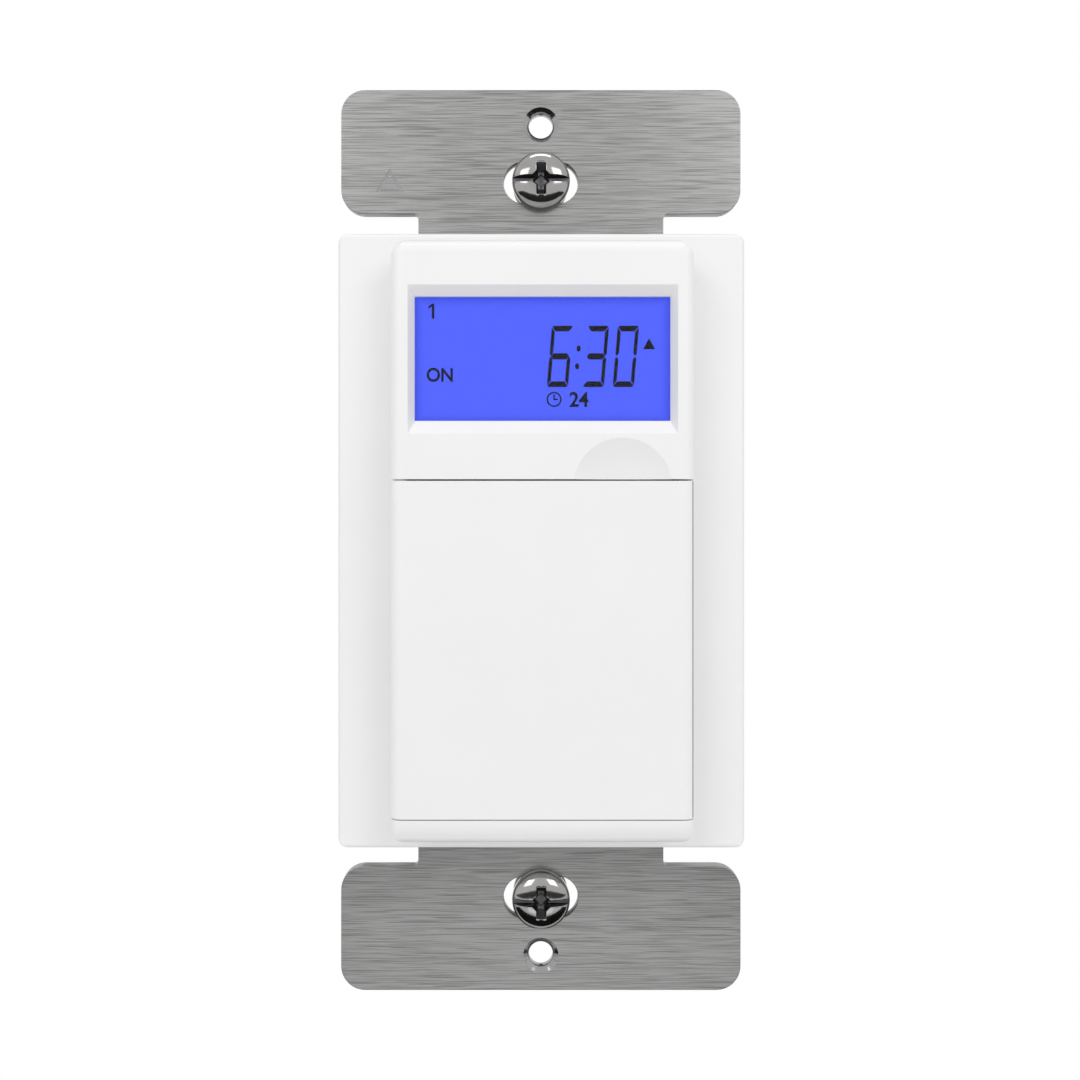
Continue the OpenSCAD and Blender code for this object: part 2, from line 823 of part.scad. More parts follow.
// Walls around a terminal pocket, and the room that is cut out of them
module terminal_walls() {
    block([-cavity_x - eps, terminal_y0 - housing_wall, -terminal_h / 2 - housing_wall],
          [terminal_floor + terminal_wall, cavity_y1 + eps, terminal_h / 2 + housing_wall]);
}

module terminal_room() {
    block([-housing_x - over, terminal_y0, -terminal_h / 2],
          [terminal_floor, terminal_y1, terminal_h / 2]);
    block([plate_x - fit, terminal_y0 - housing_wall - over, -tail_h / 2 - fit],
          [terminal_floor + fit, terminal_y0 + eps, tail_h / 2 + fit]);
    terminal_bar(terminal_r + 2 * fit, terminal_floor - eps, terminal_tip + fit);
}

module rear_housing() {
    color("whitesmoke") difference() {
        union() {
            difference() {
                housing_form();
                block([-cavity_x, strap_back - over, -cavity_z], [cavity_x, cavity_y1, cavity_z]);
            }
            intersection() {
                at_fixings() bar(column_r, strap_back, housing_y1 - eps);
                housing_form();
            }
            for (sx = [-1, 1], sz = [-1, 1]) scale([sx, 1, sz])
                block([cavity_x - rib_t, power_back, rib_z],
                      [cavity_x + eps, cavity_y1 + eps, rib_z + rib_t]);
            at_power_fixings() bar(power_post_r, power_back, cavity_y1 + eps);
            at_terminals() terminal_walls();
        }
        at_fixings() {
            bar(fix_screw_r + 2 * fit, strap_back - over, seat_y + over);
            bar(well_r, seat_y, housing_y1 + over);
        }
        at_power_fixings()
            bar(board_screw_r + thread_gap, power_back - over, power_y + board_screw_len + 2 * fit);
        at_terminals() terminal_room();
        translate([-housing_x - over, ground_y, ground_z]) rotate([0, 90, 0])
            cylinder(r = ground_r + ground_room, h = ground_tip + fit + housing_x + over);
    }
}

module housing_screws() {
    color("silver") at_fixings() {
        bar(fix_screw_r, seat_y - fix_screw_len, seat_y + eps);
        difference() {
            bar(fix_head_r, seat_y, seat_y + fix_head_h);
            block([-fix_head_r - over, seat_y + fix_head_h - fix_slot_d, -fix_slot_w / 2],
                  [fix_head_r + over, seat_y + 2 * fix_head_h, fix_slot_w / 2]);
        }
    }
}

// Domed head with a slot and a cross recess
module box_screw_head() {
    ball = (box_head_r * box_head_r + box_dome_h * box_dome_h) / (2 * box_dome_h);
    front = -box_rim_h - box_dome_h;
    difference() {
        intersection() {
            bar(box_head_r, front, 0);
            translate([0, front + ball, 0]) sphere(ball, $fn = 96);
        }
        block([-box_head_r - over, front - over, -box_slot_w / 2],
              [box_head_r + over, front + box_slot_d, box_slot_w / 2]);
        block([-box_cross_w / 2, front - over, -box_cross_h / 2],
              [box_cross_w / 2, front + box_cross_d, box_cross_h / 2]);
    }
}

// Bare neck, thread and bevelled tip
module box_screw_shank() {
    rotate([-90, 0, 0]) rotate_extrude() polygon([
        [0, -eps], [box_neck_r, -eps], [box_neck_r, box_neck_back], [box_screw_r, box_neck_back],
        [box_screw_r, box_screw_len - box_tip], [box_screw_r - box_tip, box_screw_len], [0, box_screw_len]
    ]);
}

module mounting_screws() {
    color("silver") at_box_screws() {
        box_screw_head();
        box_screw_shank();
    }
}

module screw_washers() {
    color("tan") at_box_screws() difference() {
        bar(washer_r, strap_back, strap_back + washer_t);
        bar(box_neck_r + thread_gap, 0, strap_back + washer_t + over);
    }
}

// Brass plate on the pocket's floor, with a tail through the pocket's wall to the power board
module terminal_plates() {
    color("goldenrod") at_terminals() difference() {
        union() {
            block([plate_x, terminal_y0 + 2 * fit, -terminal_h / 2 + plate_edge],
                  [terminal_floor, terminal_y1 - 2 * fit, terminal_h / 2 - plate_edge]);
            block([plate_x, power_back, -tail_h / 2], [terminal_floor, terminal_y0 + over, tail_h / 2]);
        }
        terminal_bar(terminal_r + thread_gap, plate_x - over, terminal_floor + over);
    }
}

module wire_clamps() {
    color("goldenrod") at_terminals() difference() {
        block([clamp_x, terminal_y - clamp_w / 2, -clamp_w / 2],
              [clamp_x + clamp_t, terminal_y + clamp_w / 2, clamp_w / 2]);
        terminal_bar(terminal_r + fit, clamp_x - over, clamp_x + clamp_t + over);
    }
}

module terminal_screws() {
    color("goldenrod") at_terminals() difference() {
        union() {
            terminal_bar(terminal_head_r, head_x, clamp_x);
            terminal_bar(terminal_r, clamp_x - eps, terminal_tip);
        }
        block([head_x - over, terminal_y - terminal_head_r - over, -terminal_slot_w / 2],
              [head_x + terminal_slot_d, terminal_y + terminal_head_r + over, terminal_slot_w / 2]);
    }
}

// Hexagon head with its own washer flange, on the outside of the strap's tab
module ground_screw() {
    head = ground_flange + ground_hexagon;
    color("green") translate([ground_x, ground_y, ground_z]) rotate([0, 90, 0]) difference() {
        union() {
            translate([0, 0, -ground_flange]) cylinder(r = ground_head_r, h = ground_flange);
            translate([0, 0, -head]) cylinder(r = ground_head_r - fit, h = ground_hexagon, $fn = 6);
            translate([0, 0, -eps]) cylinder(r = ground_r, h = ground_tip - ground_x);
        }
        translate([-ground_head_r, -ground_slot_w / 2, -head - over])
            cube([2 * ground_head_r, ground_slot_w, over + ground_slot_d]);
    }
}

mounting_strap();
front_bezel();
door();
lcd_lens();
lcd_panel();
lcd_backlight();
lcd_holder();
elastomer_connectors();
control_board();
tact_switches();
key_mode();
key_day();
key_hour();
key_minute();
key_set();
key_random();
key_on_off();
key_reset();
plunger(KEYS[0]);  // plunger_mode
plunger(KEYS[1]);  // plunger_day
plunger(KEYS[2]);  // plunger_hour
plunger(KEYS[3]);  // plunger_minute
plunger(KEYS[4]);  // plunger_set
plunger(KEYS[5]);  // plunger_random
plunger(KEYS[6]);  // plunger_on_off
plunger(KEYS[7]);  // plunger_reset
board_screws();
board_connector();
backup_battery();
power_board();
relay();
film_capacitor();
electrolytic_capacitor();
varistor();
rear_housing();
housing_screws();
mounting_screws();
screw_washers();
terminal_plates();
wire_clamps();
terminal_screws();
ground_screw();
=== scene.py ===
import json
import math

import bmesh
import bpy
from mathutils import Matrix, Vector


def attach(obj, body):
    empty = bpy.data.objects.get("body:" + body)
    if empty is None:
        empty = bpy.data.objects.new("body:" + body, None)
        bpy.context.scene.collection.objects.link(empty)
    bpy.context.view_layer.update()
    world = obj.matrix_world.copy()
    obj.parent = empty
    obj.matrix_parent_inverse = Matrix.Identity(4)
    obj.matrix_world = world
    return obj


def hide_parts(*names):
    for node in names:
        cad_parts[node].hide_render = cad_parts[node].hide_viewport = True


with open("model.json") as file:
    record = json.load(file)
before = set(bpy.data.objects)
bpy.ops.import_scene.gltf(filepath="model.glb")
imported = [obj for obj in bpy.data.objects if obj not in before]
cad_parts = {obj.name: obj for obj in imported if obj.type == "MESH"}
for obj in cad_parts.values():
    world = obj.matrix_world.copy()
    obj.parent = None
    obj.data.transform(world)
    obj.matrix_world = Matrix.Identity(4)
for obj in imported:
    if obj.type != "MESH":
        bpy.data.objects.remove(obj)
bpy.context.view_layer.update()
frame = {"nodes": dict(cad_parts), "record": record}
NODES = frame["nodes"]
SLOTS = {part["node"]: part["material_slot"] for part in frame["record"]["subparts"]}
KEYS = ["mode", "day", "hour", "minute", "set", "random", "on_off", "reset"]
MM = 0.001

# Sizes that repeat the part's own, in millimetres
BOX_SCREW_Z = 41.67
PLATE_HOLE_Z = 48.42
FACE_W, FACE_H, FACE_FRONT = 33.1, 66.2, -9.1
WINDOW_W, WINDOW_H, WINDOW_Z = 28.0, 13.6, 20.1
SCOOP_X, SCOOP_Z, SCOOP_BOTTOM, SCOOP_BALL = 8.65, 6.05, -7.8, 11.454
DOOR_TOP = 6.75
PANEL_FRONT = -6.6
KEY_FRONT = -6.7
HOUSING_BACK = 31.4


# --- Hand tools

def deselect():
    for thing in bpy.context.selected_objects:
        thing.select_set(False)


def activate(piece):
    """Makes a piece the active one and the only one selected."""
    deselect()
    bpy.context.view_layer.objects.active = piece
    piece.select_set(True)


def edit(piece):
    activate(piece)
    bpy.ops.object.mode_set(mode="EDIT")


def leave_edit():
    bpy.ops.object.mode_set(mode="OBJECT")


def pick(piece, kind, test):
    """Selects the verts, edges or faces that pass a test, in edit mode."""
    bpy.ops.mesh.select_all(action="DESELECT")
    bpy.ops.mesh.select_mode(type=kind[:-1].upper())
    mesh = bmesh.from_edit_mesh(piece.data)
    for item in getattr(mesh, kind):
        if test(item):
            item.select = True
    mesh.select_flush_mode()
    bmesh.update_edit_mesh(piece.data)


# --- Nodes of materials

def linear(hex_colour):
    """An sRGB hex colour as the linear colour that a shader takes."""
    channels = [int(hex_colour[i:i + 2], 16) / 255 for i in (0, 2, 4)]
    return [c / 12.92 if c <= 0.04045 else ((c + 0.055) / 1.055) ** 2.4 for c in channels] + [1]


def add(material, kind, inputs=None, **settings):
    """Adds a node. An input is a value, or another node's output to link."""
    tree = material.node_tree
    made = tree.nodes.new(kind)
    for name, value in settings.items():
        setattr(made, name, value)
    for name, value in (inputs or {}).items():
        if isinstance(value, bpy.types.NodeSocket):
            tree.links.new(value, made.inputs[name])
        else:
            made.inputs[name].default_value = value
    return made


def new_material(name):
    material = bpy.data.materials.new(name)
    material.use_nodes = True
    material.node_tree.nodes.clear()
    return material


def surface(material, shader):
    add(material, "ShaderNodeOutputMaterial", {"Surface": shader.outputs[0]})
    return material


def shaded(material, inputs):
    """Ends a material in a principled shader with these inputs."""
    return surface(material, add(material, "ShaderNodeBsdfPrincipled", inputs))


def object_place(material):
    return add(material, "ShaderNodeTexCoord").outputs["Object"]


def calculate(material, operation, first, second=0.0):
    """The result of one math node on two values."""
    return add(material, "ShaderNodeMath", {0: first, 1: second}, operation=operation).outputs[0]


def ramp(material, value, low=0.0, high=1.0, to=(0.0, 1.0)):
    """A value carried from one range to another, and held at both ends."""
    return add(material, "ShaderNodeMapRange", {
        "Value": value, "From Min": low, "From Max": high, "To Min": to[0], "To Max": to[1]}).outputs[0]


def noise(material, place, size, detail=2.0):
    """Noise whose lumps have a size in mm."""
    return add(material, "ShaderNodeTexNoise", {
        "Vector": place, "Scale": 1 / (size * MM), "Detail": detail}).outputs[0]


def mean(material, factor, first, second):
    """A value between two values."""
    return add(material, "ShaderNodeMix", {"Factor": factor, "A": first, "B": second}).outputs[0]


def blend(material, factor, first, second):
    """A colour between two colours, each in sRGB hex or from a node's output."""
    ends = [linear(end) if isinstance(end, str) else end for end in (first, second)]
    return add(material, "ShaderNodeMix", {"Factor": factor, "A": ends[0], "B": ends[1]},
               data_type="RGBA").outputs[2]


# --- Camera, stage and light, in metres where nothing else is said

FLOOR_Y, FLOOR_Z = -0.05, -0.36
FLOOR_W, FLOOR_D, SWEEP_H = 3.0, 0.8, 1.6
# Distances from the object over which the floor fades to white
FADE_START, FADE_END = 0.08, 0.33
# Heights over the floor by which the sweep is white for the camera and in metal and glass
SWEEP_FADE, MIRROR_FADE = 0.2, 0.05
# How bright the white room is for surfaces that scatter its light
STUDIO_LEVEL = 0.72
# Centre and size
BLACK_CARDS = {
    "card_below": ((0, -0.08, -0.15), (0.4, 0.12)),
    "card_middle": ((0, -0.29, -0.06), (0.8, 0.43)),
}
# Place, size, and power in watts
LAMPS = {
    "front_left": ((-0.35, -0.6, 0.3), (0.3, 0.3), 0.78),
    "front_right": ((0.35, -0.6, 0.3), (0.3, 0.3), 0.78),
    "overhead": ((0, -0.12, 0.5), (0.3, 0.12), 0.32),
    "front_low": ((0, -0.5, -0.25), (0.3, 0.2), 0.09),
}


def make_camera():
    """Stands a little above and to the left of the centre, square to the face. Its sizes are in mm."""
    distance, span = 127.0, 125.93
    left, up, nudge = 3.0, 4.5, 0.1
    data = bpy.data.cameras.new("camera")
    data.sensor_width = 36.0
    data.lens = data.sensor_width * distance / span
    data.shift_x = (left - nudge) / span
    data.shift_y = -up / span
    data.clip_start = 0.01
    camera = bpy.data.objects.new("camera", data)
    bpy.context.scene.collection.objects.link(camera)
    camera.location = Vector((-left, -distance, up)) * MM
    camera.rotation_euler = (math.radians(90), 0, 0)
    bpy.context.scene.camera = camera


def fading_paper():
    """Pale matt paper. Camera, metal and glass see white where it rises or lies away from the object."""
    material = new_material("pale_paper")
    paper = add(material, "ShaderNodeBsdfPrincipled", {"Base Color": linear("F4F4F4"), "Roughness": 0.8})
    white = add(material, "ShaderNodeEmission", {"Color": linear("FFFFFF"), "Strength": 1.0})
    rays = add(material, "ShaderNodeLightPath").outputs
    place = add(material, "ShaderNodeSeparateXYZ", {0: object_place(material)}).outputs
    on_floor = add(material, "ShaderNodeCombineXYZ", {"X": place["X"], "Y": place["Y"]})
    away = add(material, "ShaderNodeVectorMath", {0: on_floor.outputs[0]}, operation="LENGTH").outputs["Value"]
    far = calculate(material, "MAXIMUM", ramp(material, place["Z"], FLOOR_Z, FLOOR_Z + SWEEP_FADE),
                    ramp(material, away, FADE_START, FADE_END))
    to_camera = calculate(material, "MULTIPLY", rays["Is Camera Ray"], far)
    shiny = calculate(material, "MAXIMUM", rays["Is Glossy Ray"], rays["Is Transmission Ray"])
    mirrored = calculate(material, "MULTIPLY", shiny,
                         ramp(material, place["Z"], FLOOR_Z, FLOOR_Z + MIRROR_FADE, to=(0.15, 1.0)))
    part = calculate(material, "MAXIMUM", to_camera, mirrored)
    return surface(material, add(material, "ShaderNodeMixShader", {
        0: part, 1: paper.outputs[0], 2: white.outputs[0]}))


def make_stage():
    """Pale floor with a sweep behind it."""
    deselect()
    bpy.ops.mesh.primitive_plane_add(size=1, location=(0, FLOOR_Y, FLOOR_Z))
    sweep = bpy.context.object
    sweep.name = "floor"
    bpy.ops.transform.resize(value=(FLOOR_W, FLOOR_D, 1))
    bpy.ops.object.transform_apply(location=True, rotation=True, scale=True)
    edit(sweep)
    pick(sweep, "edges", lambda e: all(v.co.y > FLOOR_Y for v in e.verts))
    bpy.ops.mesh.extrude_region_move(TRANSFORM_OT_translate={"value": (0, 0, SWEEP_H)})
    leave_edit()
    sweep.data.materials.append(fading_paper())


def make_black_cards():
    """Black felt cards below the camera's view, which only shiny metal sees: the screws' dark lower side."""
    felt = shaded(new_material("black_felt"), {"Base Color": linear("080808"), "Roughness": 1.0})
    for name, (place, extent) in BLACK_CARDS.items():
        deselect()
        bpy.ops.mesh.primitive_plane_add(size=1, location=place)
        card = bpy.context.object
        card.name = name
        card.scale = (*extent, 1)
        card.visible_camera = card.visible_diffuse = False
        card.visible_shadow = card.visible_transmission = False
        bpy.ops.object.transform_apply(location=True, rotation=True, scale=True)
        card.data.materials.append(felt)


def make_light():
    """White room and soft area lamps that face the object's centre."""
    world = bpy.data.worlds.new("studio")
    world.use_nodes = True
    world.node_tree.nodes.clear()
    rays = add(world, "ShaderNodeLightPath").outputs
    seen = rays["Is Camera Ray"]
    for ray in ("Is Glossy Ray", "Is Transmission Ray"):
        seen = calculate(world, "MAXIMUM", seen, rays[ray])
    sky = add(world, "ShaderNodeBackground", {
        "Color": linear("FFFFFF"), "Strength": ramp(world, seen, to=(STUDIO_LEVEL, 1.0))})
    add(world, "ShaderNodeOutputWorld", {"Surface": sky.outputs[0]})
    bpy.context.scene.world = world
    for name, (place, extent, power) in LAMPS.items():
        data = bpy.data.lights.new(name, "AREA")
        data.shape = "RECTANGLE"
        data.size, data.size_y = extent
        data.energy = power
        lamp = bpy.data.objects.new(name, data)
        bpy.context.scene.collection.objects.link(lamp)
        lamp.location = place
        lamp.rotation_mode = "QUATERNION"
        lamp.rotation_quaternion = (-Vector(place)).to_track_quat("-Z", "Y")
    bpy.context.scene.view_settings.view_transform = "Standard"


# --- Finishes: the sizes of their grain, wear and marks are in millimetres

def moulded_plastic(name, colour, shade, roughness, grain, depth):
    """Moulded plastic, or a dipped or pressed skin: even colour with a fine grain of some depth."""
    material = new_material(name)
    place = object_place(material)
    clouds = noise(material, place, 9)
    speck = noise(material, place, grain, detail=3.0)
    bump = add(material, "ShaderNodeBump", {"Height": speck, "Strength": 0.35, "Distance": depth * MM})
    return shaded(material, {
        "Base Color": blend(material, clouds, colour, shade), "IOR": 1.5,
        "Roughness": ramp(material, speck, to=(roughness - 0.05, roughness + 0.05)),
        "Normal": bump.outputs[0]})


def plated_metal(name, colour, shade, roughness, wear):
    """Plated, stamped or turned metal: bright, with faint clouding and fine marks."""
    material = new_material(name)
    place = object_place(material)
    clouds = noise(material, place, 1.5, detail=3.0)
    marks = noise(material, place, wear, detail=4.0)
    bump = add(material, "ShaderNodeBump", {"Height": marks, "Strength": 0.2, "Distance": 0.005 * MM})
    return shaded(material, {
        "Base Color": blend(material, clouds, colour, shade), "Metallic": 1.0,
        "Roughness": ramp(material, marks, to=(roughness * 0.6, roughness * 1.4)),
        "Normal": bump.outputs[0]})


def streaks(material, place, length, height, low, high):
    """Noise drawn out along X. The part of it from low to high goes from 0 to 1."""
    mapped = add(material, "ShaderNodeMapping", {
        "Vector": place, "Location": (0, 0.4, 0),
        "Scale": (1 / (length * MM), 1 / (2 * MM), 1 / (height * MM))})
    waves = add(material, "ShaderNodeTexNoise", {
        "Vector": mapped.outputs[0], "Scale": 1.0, "Detail": 0.0})
    return ramp(material, waves.outputs[0], low, high)


def brushed_steel():
    """Galvanised steel strip, belt-brushed across the strap: long fine scratches along X."""
    material = new_material("brushed_steel")
    place = object_place(material)
    fine = streaks(material, place, 2.5, 0.045, 0.25, 0.75)
    dark = streaks(material, place, 5.0, 0.055, 0.52, 0.62)
    drawn_out = streaks(material, place, 9.0, 0.06, 0.3, 0.7)
    short = streaks(material, place, 0.2, 0.05, 0.3, 0.7)
    grain = mean(material, 0.25, mean(material, 0.4, fine, drawn_out), short)
    tint = blend(material, grain, "909090", "A2A2A1")
    bump = add(material, "ShaderNodeBump", {"Height": fine, "Strength": 0.2, "Distance": 0.008 * MM})
    return shaded(material, {
        "Base Color": blend(material, dark, tint, "7C7C7B"), "Metallic": 1.0,
        "Roughness": ramp(material, grain, to=(0.3, 0.4)), "Normal": bump.outputs[0]})


def display_blue():
    """Lit display film: even blue, with the shade of the window's edges painted into its glow as a darker rim.
    """
    painted_edge_shade = 0.9
    material = new_material("display_blue")
    place = object_place(material)
    along = add(material, "ShaderNodeSeparateXYZ", {0: place}).outputs
    # Painted shade: the glow is darker within 0.9 mm of the window's edges, as if the bezel shaded it
    inside = []
    for axis, middle, half in (("X", 0.0, WINDOW_W / 2), ("Z", WINDOW_Z, WINDOW_H / 2)):
        away = calculate(material, "ABSOLUTE", calculate(material, "SUBTRACT", along[axis], middle * MM))
        inside.append(ramp(material, away, half * MM, (half - painted_edge_shade) * MM))
    lit = mean(material, 0.12, calculate(material, "MINIMUM", *inside), noise(material, place, 0.2))
    return shaded(material, {
        "Base Color": linear("080A20"), "Roughness": 0.5, "Specular IOR Level": 0.1,
        "Emission Color": blend(material, lit, "3E4FE4", "4C61FF"), "Emission Strength": 1.0})


def display_ink():
    """Switched liquid crystal: near black and dull, with the faintest mottle."""
    material = new_material("display_ink")
    mottle = noise(material, object_place(material), 0.15)
    return shaded(material, {
        "Base Color": blend(material, mottle, "06060C", "0C0C16"), "Roughness": 0.7,
        "Specular IOR Level": 0.05})


def clear_acrylic():
    """Clear acrylic with an anti-glare coat: hardly any haze or reflection, so a low IOR."""
    material = new_material("clear_acrylic")
    haze = noise(material, object_place(material), 4)
    return shaded(material, {
        "Base Color": linear("FCFDFF"), "Roughness": ramp(material, haze, to=(0.01, 0.04)), "IOR": 1.22,
        "Transmission Weight": 1.0})


def circuit_board():
    """Glass-epoxy board under green solder mask, with faint tracks below it."""
    material = new_material("circuit_board")
    tracks = add(material, "ShaderNodeTexVoronoi", {
        "Vector": object_place(material), "Scale": 1 / (2.2 * MM)},
                 distance="MANHATTAN", feature="DISTANCE_TO_EDGE")
    between = ramp(material, tracks.outputs[0], 0.04, 0.09)
    return shaded(material, {
        "Base Color": blend(material, between, "2F7A48", "14522C"), "Roughness": 0.35, "IOR": 1.5})


FINISHES = {
    # Galvanised and brushed steel strip
    "brushed_steel": brushed_steel(),
    # Moulded ABS, satin
    "white_plastic": moulded_plastic("satin_white", "F3F3F3", "EFEFEF", 0.42, 0.12, 0.004),
    # Moulded polycarbonate with a coarser mould grain
    "housing_plastic": moulded_plastic("housing_grey", "DCDCDA", "D2D2D0", 0.55, 0.25, 0.01),
    # Moulded ABS, pale grey
    "key_plastic": moulded_plastic("key_grey", "E0E0DE", "D8D8D6", 0.45, 0.15, 0.005),
    # Glass-filled nylon of the switches, the relay and the holders
    "black_plastic": moulded_plastic("satin_black", "1C1C1C", "262626", 0.5, 0.2, 0.008),
    # Clear acrylic lit from its edge
    "light_guide": moulded_plastic("light_guide", "9AA8F0", "8898EE", 0.3, 0.3, 0.004),
    # Layered silicone rubber
    "contact_rubber": moulded_plastic("contact_rubber", "C89A94", "B88680", 0.7, 0.12, 0.008),
    # Moulded polyester box of the film capacitor
    "yellow_plastic": moulded_plastic("capacitor_yellow", "D8A224", "CC9418", 0.4, 0.3, 0.006),
    # Heat-shrunk PVC sleeve
    "capacitor_sleeve": moulded_plastic("shrunk_sleeve", "1A2038", "222A48", 0.35, 0.4, 0.006),
    # Dipped epoxy of the varistor
    "blue_coating": moulded_plastic("dipped_epoxy", "2A5A9A", "204C88", 0.3, 0.6, 0.02),
    # Pressed fibre
    "fibre_washer": moulded_plastic("pressed_fibre", "D8D2C2", "C4BCA8", 0.75, 0.18, 0.015),
    # Glass epoxy under green solder mask
    "circuit_board": circuit_board(),
    # Lit display film, and the liquid crystal of its figures
    "display_glass": display_blue(),
    "display_ink": display_ink(),
    # Clear acrylic
    "clear_lens": clear_acrylic(),
    # Bright nickel plating on steel, and a dark copy of it that paints the shade deep in a screw's recess
    "nickel_screw": plated_metal("bright_nickel", "ABAAA9", "92918F", 0.1, 0.2),
    "painted_recess_shade": plated_metal("painted_recess_shade", "6C6C70", "363638", 0.35, 0.2),
    # Clear zinc plating on steel
    "zinc_screw": plated_metal("zinc_plating", "C8CACC", "B0B4B8", 0.28, 0.2),
    # Nickel-plated steel can
    "battery_steel": plated_metal("battery_can", "C8C8C4", "B8B8B4", 0.3, 0.3),
    # Stamped and turned brass
    "brass": plated_metal("stamped_brass", "D0A858", "B89048", 0.3, 0.25),
    # Zinc plating dyed green
    "green_screw": plated_metal("dyed_green_zinc", "1E7A3A", "145C2A", 0.35, 0.25),
    # Pad-printed ink on the wide key
    "key_ink": moulded_plastic("key_ink", "3A3C40", "44464A", 0.5, 0.1, 0.001),
    # Bare steel where the strap is punched and stamped
    "cut_steel": plated_metal("cut_steel", "A8A8A8", "8A8A8A", 0.15, 0.15),
}


def dress_nodes():
    """Gives each CAD node the procedural finish of its slot."""
    for name, node in NODES.items():
        for slot in node.material_slots:
            slot.material = FINISHES[SLOTS[name]]


# --- Modelling, as by hand: sizes are in millimetres until a piece is done

def finished(piece, body, slot, stands_for=(), smooth=30, finish=None):
    """Brings a piece made in millimetres to metres, smooths it, puts it in its body, gives it its finish or its
    slot's, and hides the nodes that it stands for.
    """
    activate(piece)
    piece.scale = (MM, MM, MM)
    piece.location = piece.location * MM
    bpy.ops.object.transform_apply(location=True, rotation=True, scale=True)
    bpy.ops.object.shade_smooth_by_angle(angle=math.radians(smooth))
    flats = piece.modifiers.new("flats", "WEIGHTED_NORMAL")
    flats.keep_sharp = True
    flats.weight = 100
    bpy.ops.object.modifier_apply(modifier="flats")
    piece.data.materials.clear()
    piece.data.materials.append(FINISHES[finish or slot])
    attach(piece, body)
    if stands_for:
        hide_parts(*stands_for)
    return piece


def drawn(name, points, closed=False):
    """A line drawn point by point by extruding one corner of a plane. Left in edit mode, all selected."""
    deselect()
    bpy.ops.mesh.primitive_plane_add(size=1, location=(0, 0, 0))
    piece = bpy.context.object
    piece.name = name
    edit(piece)
    pick(piece, "verts", lambda v: v.index != 0)
    bpy.ops.mesh.delete(type="VERT")
    bpy.ops.mesh.select_all(action="SELECT")
    corner = bmesh.from_edit_mesh(piece.data).verts[:][0].co.copy()
    bpy.ops.transform.translate(value=Vector(points[0]) - corner)
    for before, after in zip(points, points[1:]):
        bpy.ops.mesh.extrude_vertices_move(TRANSFORM_OT_translate={"value": Vector(after) - Vector(before)})
    bpy.ops.mesh.select_all(action="SELECT")
    if closed:
        bpy.ops.mesh.edge_face_add()
    return piece


def plate(name, points, front, thickness):
    """Flat plate with a drawn outline of X and Z, its front face at a Y, facing the room."""
    piece = drawn(name, [(x, front, z) for x, z in points], closed=True)
    bpy.ops.mesh.extrude_region_move(TRANSFORM_OT_translate={"value": (0, thickness, 0)})
    bpy.ops.mesh.select_all(action="SELECT")
    bpy.ops.mesh.normals_make_consistent(inside=False)
    leave_edit()
    return piece


def turned(name, points):
    """Solid turned about the Y axis from a drawn half profile of radius and Y."""
    piece = drawn(name, [(r, y, 0) for r, y in points])
    bpy.ops.mesh.spin(steps=64, angle=math.tau, center=(0, 0, 0), axis=(0, 1, 0))
    bpy.ops.mesh.select_all(action="SELECT")
    bpy.ops.mesh.remove_doubles(threshold=0.0005)
    bpy.ops.mesh.normals_make_consistent(inside=False)
    leave_edit()
    return piece


def combine(piece, other, operation):
    """Cuts or joins another piece into this one, and takes the other away."""
    activate(piece)
    tool = piece.modifiers.new("cut", "BOOLEAN")
    tool.operation = operation
    tool.object = other
    tool.solver = "EXACT"
    bpy.ops.object.modifier_apply(modifier="cut")
    bpy.data.objects.remove(other)
    return piece


def joined(pieces, name):
    """Several pieces as one object, each still whole."""
    deselect()
    for piece in pieces:
        piece.select_set(True)
    bpy.context.view_layer.objects.active = pieces[0]
    bpy.ops.object.join()
    pieces[0].name = name
    return pieces[0]


def round_edges(piece, width, angle=40):
    """Breaks the edges of a piece that are sharper than an angle, as a mould or a tumbler does."""
    activate(piece)
    rounding = piece.modifiers.new("rounding", "BEVEL")
    rounding.width = width
    rounding.segments = 2
    rounding.limit_method = "ANGLE"
    rounding.angle_limit = math.radians(angle)
    rounding.use_clamp_overlap = False
    rounding.miter_outer = "MITER_ARC"
    bpy.ops.object.modifier_apply(modifier="rounding")


def close_holes(piece):
    """Fills every opening left in a piece's skin."""
    edit(piece)
    bpy.ops.mesh.select_all(action="SELECT")
    bpy.ops.mesh.fill_holes(sides=0)
    bpy.ops.mesh.dissolve_degenerate(threshold=0.0005)
    bpy.ops.mesh.normals_make_consistent(inside=False)
    leave_edit()


def new_object(name, mesh):
    piece = bpy.data.objects.new(name, mesh.copy())
    bpy.context.scene.collection.objects.link(piece)
    return piece


def node_copy(node, name, width, shape=None):
    """Merged copy of a CAD node in millimetres, with its sharp edges just broken."""
    piece = new_object(name, NODES[node].data)
    edit(piece)
    bpy.ops.mesh.customdata_custom_splitnormals_clear()
    bpy.ops.mesh.select_all(action="SELECT")
    bpy.ops.transform.resize(value=(1 / MM, 1 / MM, 1 / MM), center_override=(0, 0, 0))
    bpy.ops.mesh.remove_doubles(threshold=0.001)
    bpy.ops.mesh.dissolve_limited(angle_limit=math.radians(0.6))
    if shape:
        shape(piece)
    leave_edit()
    front = min(v.co.y for v in piece.data.vertices)
    round_edges(piece, width)
    # The rounding's mitres can stand out by some hundredths, and go back onto the node's own front
    edit(piece)
    pick(piece, "verts", lambda v: v.co.y < front + 0.0001)
    bpy.ops.transform.resize(value=(1, 0, 1), center_override=(0, front, 0))
    leave_edit()
    return piece


def circle(centre, radius, count=40):
    turns = [i * math.tau / count for i in range(count)]
    return [(centre[0] + radius * math.cos(a), centre[1] + radius * math.sin(a)) for a in turns]


def rectangle(x0, x1, z0, z1):
    return [(x0, z0), (x1, z0), (x1, z1), (x0, z1)]


